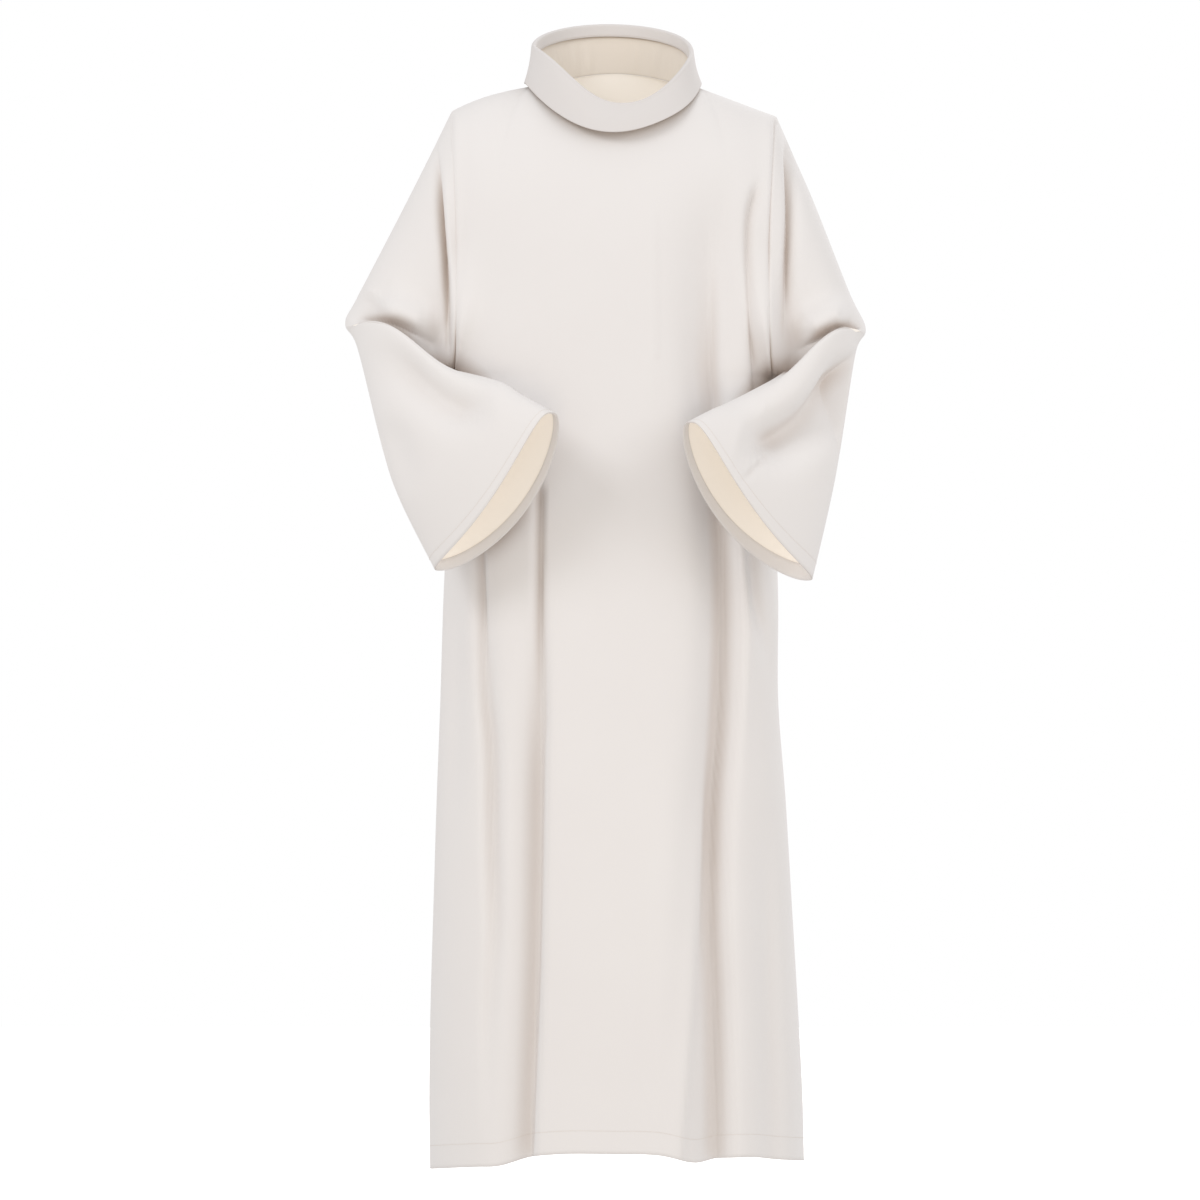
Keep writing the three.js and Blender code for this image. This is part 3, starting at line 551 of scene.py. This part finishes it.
# a station from the armhole to the cuff has two ends: outer over the elbow and along the hanging edge, inner
# in the crook. front and back are its depths, and turn is the way its front is turned, in degrees
SLEEVE_COLUMNS = ["outer_x", "outer_y", "outer_z", "inner_x", "inner_y", "inner_z",
                  "front", "back", "lift", "skew", "turn", "bow"]
SLEEVES = {
    "right": np.array([
        (-219, 0, -27, -215, 0, -389, 85, 85, 0, 0, 0, 0),
        (-276, 4, -143, -228, -8, -396, 72, 74, 0, 0, 5, 0),
        (-342, 2, -274, -240, -38, -388, 58, 62, 0, 0.1, 15, 0),
        (-359, -8, -314, -236, -82, -380, 40, 60, 18, 0.3, 25, 2),
        (-340, -30, -351, -215, -126, -382, 40, 62, 44, 0.5, 32, 4),
        (-303, -90, -486, -152, -180, -400, 44, 50, 8, 0.4, 37, 14),
        (-279, -114, -553, -124, -206, -418, 42, 48, 0, 0.3, 37, 20),
        (-231, -132, -647, -82, -240, -443, 42, 48, 0, 0.1, 37, 26),
    ], float),
    "left": np.array([
        (219, 0, -34, 213, 0, -389, 85, 85, 0, 0, 0, 0),
        (266, 4, -143, 227, -8, -396, 72, 74, 0, 0, 5, 0),
        (314, 2, -270, 239, -38, -390, 58, 62, 0, 0.1, 15, 0),
        (335, -8, -321, 235, -82, -386, 40, 60, 18, 0.3, 25, 2),
        (319, -30, -358, 214, -126, -394, 40, 62, 44, 0.5, 32, 4),
        (295, -90, -486, 153, -180, -426, 44, 50, 8, 0.4, 37, 14),
        (281, -114, -553, 128, -206, -438, 42, 48, 0, 0.3, 37, 20),
        (255, -132, -660, 98, -240, -455, 42, 48, 0, 0.1, 37, 26),
    ], float),
}


def sleeve_surface(side, angle, place):
    """The middle of a sleeve's cloth: each section is an oval, with the cosine of the angle along the line
    from outer to inner, and the sine along the section's turned front. Skew moves the back's depth towards
    the outer end, lift raises the front, and bow carries the middle of the section ahead of its ends."""
    station = np.arange(len(SLEEVES[side]), dtype=float)
    table = smooth_table(station, SLEEVES[side], place)
    value = {key: table[:, None, i] for i, key in enumerate(SLEEVE_COLUMNS)}
    outward = np.sign(SHOULDER[side]["x"])
    outer, inner = table[:, None, 0:3], table[:, None, 3:6]
    turn = np.radians(value["turn"])
    front = np.stack([outward * np.sin(turn), -np.cos(turn), np.zeros_like(turn)], -1)
    half = (outer - inner) / 2
    ahead = unit(np.cross(half, front)) * outward
    sine, cosine = np.sin(angle)[None], np.cos(angle)[None]
    blunt = mix(1, CUFF_BLUNT["power"], ease(place, *CUFF_BLUNT["stations"]))[:, None]
    depth = np.sign(sine) * np.abs(sine) ** blunt
    depth = depth * np.where(sine > 0, value["front"], value["back"] * (1 + value["skew"] * cosine))
    points = (outer + inner) / 2 + half * cosine[..., None] + front * depth[..., None]
    points[..., 2] += value["lift"] * np.maximum(0, sine) ** LIFT_POWER
    seam_share = (1 - ease(place, 0, 1))[:, None]
    points[..., 0] -= outward * SHOULDER[side]["inset"] * np.abs(sine) * seam_share
    return points + ahead * (value["bow"] * sine ** 2)[..., None]


def sleeve(side, folds):
    """Points and normals of a sleeve with its folds. The grid is finer in front and round the elbow. Each
    point goes in along its normal by the folds, the sunk armhole and the seam's groove, and the spare cloth
    above the underarm and the elbow stands forward."""
    front_turns = np.linspace(0, np.pi, SLEEVE_GRID_COLUMNS["front"])[:-1]
    back_turns = np.linspace(np.pi, 2 * np.pi, SLEEVE_GRID_COLUMNS["back"])[:-1]
    angle = np.concatenate([front_turns, back_turns])
    places = np.unique(np.concatenate([SLEEVE_SEAM_ROWS, *[np.linspace(*span) for span in SLEEVE_SPANS]]))
    middle = sleeve_surface(side, angle, places)
    if side == "left":
        middle = np.roll(middle[:, ::-1], 1, axis=1)
        angle = np.roll(angle[::-1], 1)
    normals = grid_normals(middle, True)
    face = np.where(np.sin(angle) >= 0, -1, 1)
    seam_angle = np.where(angle <= np.pi, angle, 2 * np.pi - angle)
    normals[0] = armhole_normal(side, seam_angle, face)

    down, from_seam = seam_angle / np.pi, along(middle, 0)
    front_side = ease(-normals[..., 1], *FACES_FORWARD)
    push = fold_push(middle, folds) * front_side * ease(from_seam, 0, SLEEVE_FOLD_FREE)
    push = push + armhole_sink(side, down, from_seam)
    groove = SEAM_GROOVE * np.exp(-(from_seam / SEAM_WIDTH) ** 2)
    moved = middle - normals * (push + groove)[..., None]
    moved[..., 1] -= underarm_fullness(side, down, from_seam) * (face < 0)
    upper_arm = front_side * (1 - ease(places, *UPPER_ARM_ENDS))[:, None]
    moved[..., 1] -= fold_push(middle, ELBOW_SPARE[side]) * upper_arm
    final = grid_normals(moved, True)
    final[0] = normals[0]
    return moved, final


SLEEVE_FOLDS = {
    "right": [
        {"line": [(-240, -60), (-231, -170), (-223, -258), (-216, -375)],
         "depth": 13, "wide": (6, 3), "fade": (0.35, 0.1), "power": 1.4},
        {"line": [(-228, -80), (-221, -170), (-214, -258), (-208, -340)],
         "depth": -4, "wide": (6, 6), "fade": (0.35, 0.2)},
        {"line": [(-350, -313), (-337, -311), (-313, -314), (-289, -319), (-265, -331), (-225, -352)],
         "depth": 7, "wide": (3, 5), "fade": (0.3, 0.5), "power": 1.3},
        {"line": [(-348, -284), (-333, -274), (-318, -280), (-302, -294), (-284, -312)],
         "depth": -5, "wide": (8, 7), "fade": (0.4, 0.4)},
        {"line": [(-335, -345), (-297, -368), (-244, -411), (-202, -432), (-149, -428)],
         "depth": 20, "wide": (30, 24), "fade": (0.4, 0.3)},
        {"line": [(-310, -430), (-285, -490), (-268, -560)],
         "depth": 7, "wide": (18, 22), "fade": (0.4, 0.5)},
    ],
    "left": [
        {"line": [(233, -45), (235, -99), (235, -163), (231, -232), (226, -312), (221, -385)],
         "depth": 14, "wide": (5, 8), "fade": (0.18, 0.5), "power": 1.4},
        {"line": [(333, -322), (315, -319), (296, -323), (277, -334), (261, -344), (235, -358)],
         "depth": 7, "wide": (4, 3), "fade": (0.08, 0.4), "power": 1.3},
        {"line": [(330, -350), (316, -380), (290, -417), (256, -448), (204, -470), (160, -460)],
         "depth": 42, "wide": (23, 36), "fade": (0.25, 0.3)},
        {"line": [(214, -487), (191, -508), (161, -534)],
         "depth": 2.5, "wide": (3, 5), "fade": (0.3, 0.3)},
    ],
}
# the upper arm's spare cloth, which rests on the roll over the forearm, along lines like those of the folds
ELBOW_SPARE = {
    "right": [{"line": [(-326, -296), (-308, -302), (-284, -306), (-262, -316), (-232, -336)],
               "depth": 24, "wide": (20, 22), "fade": (0.35, 0.4)}],
    "left": [{"line": [(324, -306), (310, -304), (294, -307), (277, -316), (261, -327), (238, -342)],
              "depth": 26, "wide": (22, 20), "fade": (0.3, 0.4)}],
}
sleeve_grids = {}
for side in ("right", "left"):
    name = "sleeve_" + side
    sleeve_grids[side] = sleeve(side, SLEEVE_FOLDS[side])
    piece = cloth_shell(name + "_cloth", *sleeve_grids[side], True, OUTER, INNER)
    piece.data.materials.append(CREPE)
    piece.data.materials.append(CREPE_INSIDE_PAINTED_LIGHT)
    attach(piece, "root")
    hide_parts(name)


# ---- collar ----
# The collar is a high band of interlined crepe, sewn to the neckline, that rolls over outwards. The
# fall is its outer layer, with one edge turned down inside the roll. The stand is the layer at the neck.

SEAM_GAP = 0.3                  # between the stand and the panels at the neckline
RIM = {"half_width": 106.5, "front": 97.0, "back": 93.0, "side_z": 62.0,
       "front_drop": 17.0, "back_rise": 41.0}
RIM_SKEW = 1.5                  # how much lower the crest is on the left, and higher on the right
RIM_DIP = 71.0                  # the scoop at the throat: its depth, place, half width and steepness
RIM_DIP_AT = math.radians(6)
RIM_DIP_SPREAD = {"right": math.radians(46), "left": math.radians(55)}
RIM_DIP_POWER = 2.15
COLLAR_SHIFT = -2.0             # the collar sits this far off the middle
ROLL_RADIUS = 2.9
TURNED_IN = 14.0                # how far down inside the roll the fall's edge is turned
FALL_EDGE = {"half_width": 119.0, "front": 114.0, "back": 113.0, "side_z": 12.0,
             "front_drop": 78.0, "back_rise": 18.0, "power": 1.8}
FALL_SLACK = 6.0                # the droop of the fall's edge over the left collarbone
FALL_SLACK_AT = math.radians(52)
FALL_SLACK_SPREAD = math.radians(26)
FALL_BULGE = 3.0                # how far the fall bows out in front and behind
FALL_BULGE_SIDE = -1.5          # and at the sides, where it bows in
FALL_ROWS = {"turned_in": 6, "roll": 13, "outside": 30}
STAND_UNDER_ROLL = 1.0          # the stand's top edge lies this far under the middle of the roll
GATHERS_UNDER_EDGE = 2.0        # its gathers start this far under the fall's turned edge
STAND_ROWS = {"roll": 5, "gathers": 24}
COLLAR_COLUMNS = 240
# small gathers of the stand: degrees from the front, depth, and spread in degrees
GATHERS = [(-161, 1.6, 3.0), (-149, 2.4, 3.5), (-137, 1.4, 2.5), (-129, 2.2, 3.0), (-116, 1.8, 4.0),
           (-98, 1.2, 4.0), (96, 1.4, 4.0), (113, 2.0, 3.5), (131, 1.3, 3.0), (146, 2.2, 4.0),
           (163, 1.5, 3.0)]
UP = np.array([0, 0, 1.0])


def rim(angle):
    """The crest of the roll: an oval that tilts forward in step with the cosine of the angle, with a
    bell-shaped scoop at the throat that is wider on the left."""
    spread = np.where(angle < RIM_DIP_AT, RIM_DIP_SPREAD["right"], RIM_DIP_SPREAD["left"])
    dip = RIM_DIP * np.exp(-np.abs((angle - RIM_DIP_AT) / spread) ** RIM_DIP_POWER)
    forward = np.cos(angle)
    tilt = np.where(forward > 0, RIM["front_drop"], RIM["back_rise"])
    return np.stack([
        COLLAR_SHIFT + RIM["half_width"] * np.sin(angle),
        -forward * np.where(forward > 0, RIM["front"], RIM["back"]),
        RIM["side_z"] - RIM_SKEW * np.sin(angle) - tilt * forward - dip,
    ], -1)


def fall_edge(angle):
    """The lower edge of the fall: an oval that droops and stands out over the left collarbone, both as the
    bell exp(-(angle/spread)^2)."""
    point = neck_ring(angle, **FALL_EDGE)
    slack = FALL_SLACK * np.exp(-((angle - FALL_SLACK_AT) / FALL_SLACK_SPREAD) ** 2)
    grow = 1 + slack / FALL_EDGE["half_width"]
    return np.stack([COLLAR_SHIFT + point[..., 0] * grow, point[..., 1] * grow, point[..., 2] - slack], -1)


def level_out(angle):
    """The level way out from the neck: x is the sine of the angle from the front, and y its cosine."""
    return np.stack([np.sin(angle), -np.cos(angle), np.zeros_like(angle)], -1)


def fall_surface(angle):
    """The fall's section at each angle: up the inner leg, over the crest in a half circle, and down the outer
    leg in a shallow bow, half a sine wave deep."""
    out = level_out(angle)
    centre = rim(angle) - UP * ROLL_RADIUS
    rows = [centre - out * ROLL_RADIUS - UP * TURNED_IN * (1 - s)
            for s in np.linspace(0, 1, FALL_ROWS["turned_in"])[:-1]]
    for turn in np.linspace(np.pi, 0, FALL_ROWS["roll"]):
        rows.append(centre + out * ROLL_RADIUS * math.cos(turn) + UP * ROLL_RADIUS * math.sin(turn))
    start, edge = rows[-1], fall_edge(angle)
    bulge = mix(FALL_BULGE_SIDE, FALL_BULGE, np.cos(angle) ** 2)[:, None]
    for s in np.linspace(0, 1, FALL_ROWS["outside"])[1:]:
        rows.append(mix(start, edge, s) + out * bulge * math.sin(math.pi * s))
    return np.stack(rows)


def stand_surface(angle):
    """The stand's section at each angle: straight down from inside the roll, then on a line to the neckline
    seam. A gather goes in from that line as a bell round the neck times a power of half a sine wave."""
    out = level_out(angle)
    seam_side = unit(UP - out * neckline_rise(angle)[:, None])
    foot = neck_ring(angle, **NECK) + seam_side * SEAM_GAP / 2
    top = rim(angle) - UP * (ROLL_RADIUS + STAND_UNDER_ROLL)
    below = top - UP * (TURNED_IN + GATHERS_UNDER_EDGE)
    rows = [mix(top, below, s) for s in np.linspace(0, 1, STAND_ROWS["roll"])[:-1]]
    degrees = np.degrees(angle)
    gather = sum(depth * np.exp(-((degrees - at) / spread) ** 2) for at, depth, spread in GATHERS)
    rows += [mix(below, foot, s) - out * (gather * math.sin(math.pi * s) ** 0.7)[:, None]
             for s in np.linspace(0, 1, STAND_ROWS["gathers"])]
    return np.stack(rows)


# the collar's crepe is backed with interlining, which makes it flatter and lets no light through. Painted
# shade: its outside is greyer and its inside darker than the same cloth elsewhere
COLLAR_CREPE_PAINTED_SHADE = crepe("polyester_crepe_interlined_painted_shade", "#DAD7D6", "#D7D3D1", "#BFB3AA", 0.2)
COLLAR_INSIDE_PAINTED_SHADE = crepe("polyester_crepe_interlined_wrong_side", "#E6DED4", "#E0D7CB", "#CDBFAF", 0.3)

collar_angle = np.linspace(-np.pi, np.pi, COLLAR_COLUMNS, endpoint=False)
fall_middle = fall_surface(collar_angle)
fall_normals = grid_normals(fall_middle, True)
fall = cloth_shell("collar_fall_cloth", fall_middle, fall_normals, True, OUTER, INNER)
fall.data.materials.append(COLLAR_CREPE_PAINTED_SHADE)
fall.data.materials.append(COLLAR_INSIDE_PAINTED_SHADE)
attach(fall, "root")
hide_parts("collar_fall")

stand_middle = stand_surface(collar_angle)
stand_normals = grid_normals(stand_middle, True)
stand = cloth_shell("collar_stand_cloth", stand_middle, stand_normals, True, OUTER, INNER)
stand.data.materials.append(COLLAR_CREPE_PAINTED_SHADE)
stand.data.materials.append(COLLAR_INSIDE_PAINTED_SHADE)
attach(stand, "root")
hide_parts("collar_stand")


# ---- hems ----
# The lower edge and the edge of each cuff are turned up inside, and a row of stitches in white
# polyester thread holds each. One more row runs round the collar, along the fall's turned edge.

HEM_DEPTH = 34.0
CUFF_HEM_DEPTH = 15.0
HEM_GAP = 0.1                   # between a panel and its hem
HEM_OUTER, HEM_INNER = -CLOTH / 2 - HEM_GAP, -1.5 * CLOTH - HEM_GAP
STITCH_PITCH = 3.1
STITCH_AHEAD = 1.0              # how far ahead a stitch looks to find its way
ROW_ENDS = (1.5, 2)             # how far from the ends of its line a row starts and ends
# rings of thread in a stitch: how far along it, how high over the cloth, and the radius
STITCH_RINGS = [(0, -0.15, 0.1), (0.4, 0.1, 0.22), (1.9, 0.1, 0.22), (2.3, -0.15, 0.1)]
STITCH_SIDES = 6

# spun polyester thread: matt like the cloth, and a little warmer, with the same painted shade where other
# cloth is near
THREAD = crepe("polyester_sewing_thread", "#E9E4DF", "#E2DBD4", "#C9BDB4", 0.2)


def at_distances(distances, reach, values):
    """The values at distances along a line, on straight lines between its points."""
    return np.stack([np.interp(distances, reach, values[:, i]) for i in range(3)], -1)


def stitch_row(name, line, normals):
    """A row of stitches along a line on the cloth, as one mesh: each is a six-sided thread that comes up
    through the cloth, runs along it and goes down again."""
    steps = np.linalg.norm(np.diff(line, axis=0), axis=1)
    reach = np.concatenate([[0], np.cumsum(steps)])
    starts = np.arange(ROW_ENDS[0], reach[-1] - ROW_ENDS[1], STITCH_PITCH)
    at = at_distances(starts, reach, line)
    ahead = unit(at_distances(starts + STITCH_AHEAD, reach, line) - at)
    up = unit(at_distances(starts, reach, normals))
    beside = np.cross(ahead, up)
    corner = np.arange(STITCH_SIDES)
    turn = corner * 2 * np.pi / STITCH_SIDES
    around = beside[:, None] * np.cos(turn)[:, None] + up[:, None] * np.sin(turn)[:, None]
    rings = [(at + ahead * place + up * height)[:, None] + around * radius
             for place, height, radius in STITCH_RINGS]
    points = np.stack(rings, 1).reshape(-1, 3) * MM
    ring, next_corner = np.arange(len(rings) - 1)[:, None] * STITCH_SIDES, (corner + 1) % STITCH_SIDES
    sides = np.stack([ring + corner, ring + next_corner,
                      ring + STITCH_SIDES + next_corner, ring + STITCH_SIDES + corner], -1)
    ends = np.array([[0, 5, 4, 3], [0, 3, 2, 1], [18, 19, 20, 21], [18, 21, 22, 23]])   # two faces close each
    one = np.concatenate([sides.reshape(-1, 4), ends])
    first_points = np.arange(len(at))[:, None, None] * len(rings) * STITCH_SIDES
    faces = (first_points + one).reshape(-1, 4)
    mesh = bpy.data.meshes.new(name)
    mesh.from_pydata(points.tolist(), [], faces.tolist())
    layer = mesh.uv_layers.new(name="thread")
    places = np.stack([points[:, 0] + points[:, 1], points[:, 2]], -1)[faces.ravel()]
    layer.data.foreach_set("uv", places.astype(np.float32).ravel())
    mesh.shade_smooth()
    row = bpy.data.objects.new(name, mesh)
    bpy.context.scene.collection.objects.link(row)
    row.data.materials.append(THREAD)
    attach(row, "root")


def closed_line(points):
    """The points of a ring, with the first again at the end."""
    return np.concatenate([points, points[:1]])


def hem_strip(node, middle, normals, closed):
    """A turned-up edge: one more layer of cloth just inside the given rows of its panel or sleeve."""
    strip = cloth_shell(node + "_cloth", middle, normals, closed, HEM_OUTER, HEM_INNER)
    strip.data.materials.append(CREPE)
    strip.data.materials.append(CREPE)
    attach(strip, "root")
    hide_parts(node)
    return strip


for name, panel_piece, middle, normals in (("hem_front", front, front_middle, front_normals),
                                           ("hem_back", back, back_middle, back_normals)):
    height = along(middle, 0)[:, middle.shape[1] // 2]
    rows = height[-1] - height <= HEM_DEPTH
    strip = hem_strip(name, middle[rows], normals[rows], False)
    # the stitches run half a grid row below the strip's upper edge
    first = np.argmax(rows)
    line = mix(middle[first], middle[first + 1], 0.5) + normals[first] * CLOTH / 2
    stitch_row(name + "_stitches", line[1:-1], normals[first, 1:-1])
for side in ("right", "left"):
    middle, normals = sleeve_grids[side]
    height = along(middle, 0)
    rows = (height[-1] - height).mean(1) <= CUFF_HEM_DEPTH
    name = "cuff_hem_" + side
    strip = hem_strip(name, middle[rows], normals[rows], True)
    first = np.argmax(rows)
    line = middle[first] + normals[first] * CLOTH / 2
    stitch_row(name + "_stitches", closed_line(line), closed_line(normals[first]))
# the collar's stitches run 2 mm above the edge that is turned down inside
line = mix(fall_middle[0], fall_middle[1], 0.8) + fall_normals[1] * CLOTH / 2
stitch_row("collar_stitches", closed_line(line), closed_line(fall_normals[1]))


# ---- floor, light and camera ----
# The alb hangs in a white room over a plain white floor. The room lights it evenly, and four
# soft lamps add a little shape. The camera stands 6 m in front, level with the alb's middle.

FLOOR_Z = -1600.0
FLOOR_HALF = 3500.0
FLOOR_GLOW = 0.6
ROOM_WHITE = (1, 0.978, 0.961, 1)       # a little warm, in linear red, green, blue and alpha
ROOM_STRENGTH = 0.765
LAMP_WHITE = (0.975, 0.985, 1.0)
BOUNCE_WARM = (1.0, 0.76, 0.5)
SENSOR = 36.0
VIEW_WIDTH = 1.62                       # in metres, of what the camera sees at the alb
CAMERA_PLACE = (-0.019, -6.0, -0.686)


def plain(name, colour, glow):
    """A plain painted surface that glows a little, as a lit studio floor does."""
    material = bpy.data.materials.new(name)
    material.use_nodes = True
    shader = material.node_tree.nodes["Principled BSDF"]
    shader.inputs["Base Color"].default_value = linear(colour)
    shader.inputs["Roughness"].default_value = 1.0
    shader.inputs["Specular IOR Level"].default_value = 0.0
    shader.inputs["Emission Color"].default_value = linear(colour)
    shader.inputs["Emission Strength"].default_value = glow
    return material


mesh = bpy.data.meshes.new("studio_floor")
corners = [(x * FLOOR_HALF * MM, y * FLOOR_HALF * MM, FLOOR_Z * MM)
           for x, y in ((-1, -1), (1, -1), (1, 1), (-1, 1))]
mesh.from_pydata(corners, [], [(0, 1, 2, 3)])
mesh.materials.append(plain("white_floor", "#FFFFFF", FLOOR_GLOW))
floor = bpy.data.objects.new("studio_floor", mesh)
bpy.context.scene.collection.objects.link(floor)
# the cloth is lit from below by the room and not by the floor, which is only there to be seen
floor.visible_diffuse = False

# the room is full white where the camera sees it, and a little dimmer and warmer as light on the cloth
world = bpy.data.worlds.new("studio")
world.use_nodes = True
tree = world.node_tree
room = tree.nodes["Background"]
room.inputs["Color"].default_value = ROOM_WHITE
room.inputs["Strength"].default_value = ROOM_STRENGTH
seen = add_node(tree, "ShaderNodeBackground", Strength=1.0)
seen.inputs["Color"].default_value = (1, 1, 1, 1)
rays = add_node(tree, "ShaderNodeLightPath")
both = add_node(tree, "ShaderNodeMixShader")
tree.links.new(rays.outputs["Is Camera Ray"], both.inputs[0])
tree.links.new(room.outputs["Background"], both.inputs[1])
tree.links.new(seen.outputs["Background"], both.inputs[2])
tree.links.new(both.outputs["Shader"], tree.nodes["World Output"].inputs["Surface"])
bpy.context.scene.world = world


def area_light(name, place, target, size, power, colour):
    """A square soft light that faces its target."""
    data = bpy.data.lights.new(name, "AREA")
    data.size = size
    data.energy = power
    data.color = colour
    light = bpy.data.objects.new(name, data)
    bpy.context.scene.collection.objects.link(light)
    light.location = place
    way = np.array(target) - np.array(place)
    light.rotation_euler = (math.atan2(math.hypot(way[0], way[1]), -way[2]), 0, math.atan2(-way[0], way[1]))


area_light("key", (-2.9, -2.9, 2.2), (0, 0, -0.45), 1.6, 59, LAMP_WHITE)
area_light("fill", (3.1, -2.5, 1.0), (0, 0, -0.7), 2.4, 34, LAMP_WHITE)
area_light("warm_bounce", (0, -2.4, -1.15), (0, 0, -0.95), 0.8, 5, BOUNCE_WARM)
area_light("back", (1.6, 2.6, 1.6), (0, 0, -0.7), 1.0, 30, LAMP_WHITE)

camera_data = bpy.data.cameras.new("camera")
camera_data.sensor_width = SENSOR
camera_data.lens = SENSOR * -CAMERA_PLACE[1] / VIEW_WIDTH
camera = bpy.data.objects.new("camera", camera_data)
bpy.context.scene.collection.objects.link(camera)
camera.location = CAMERA_PLACE
camera.rotation_euler = (math.pi / 2, 0, 0)
bpy.context.scene.camera = camera
bpy.context.scene.view_settings.view_transform = "Standard"
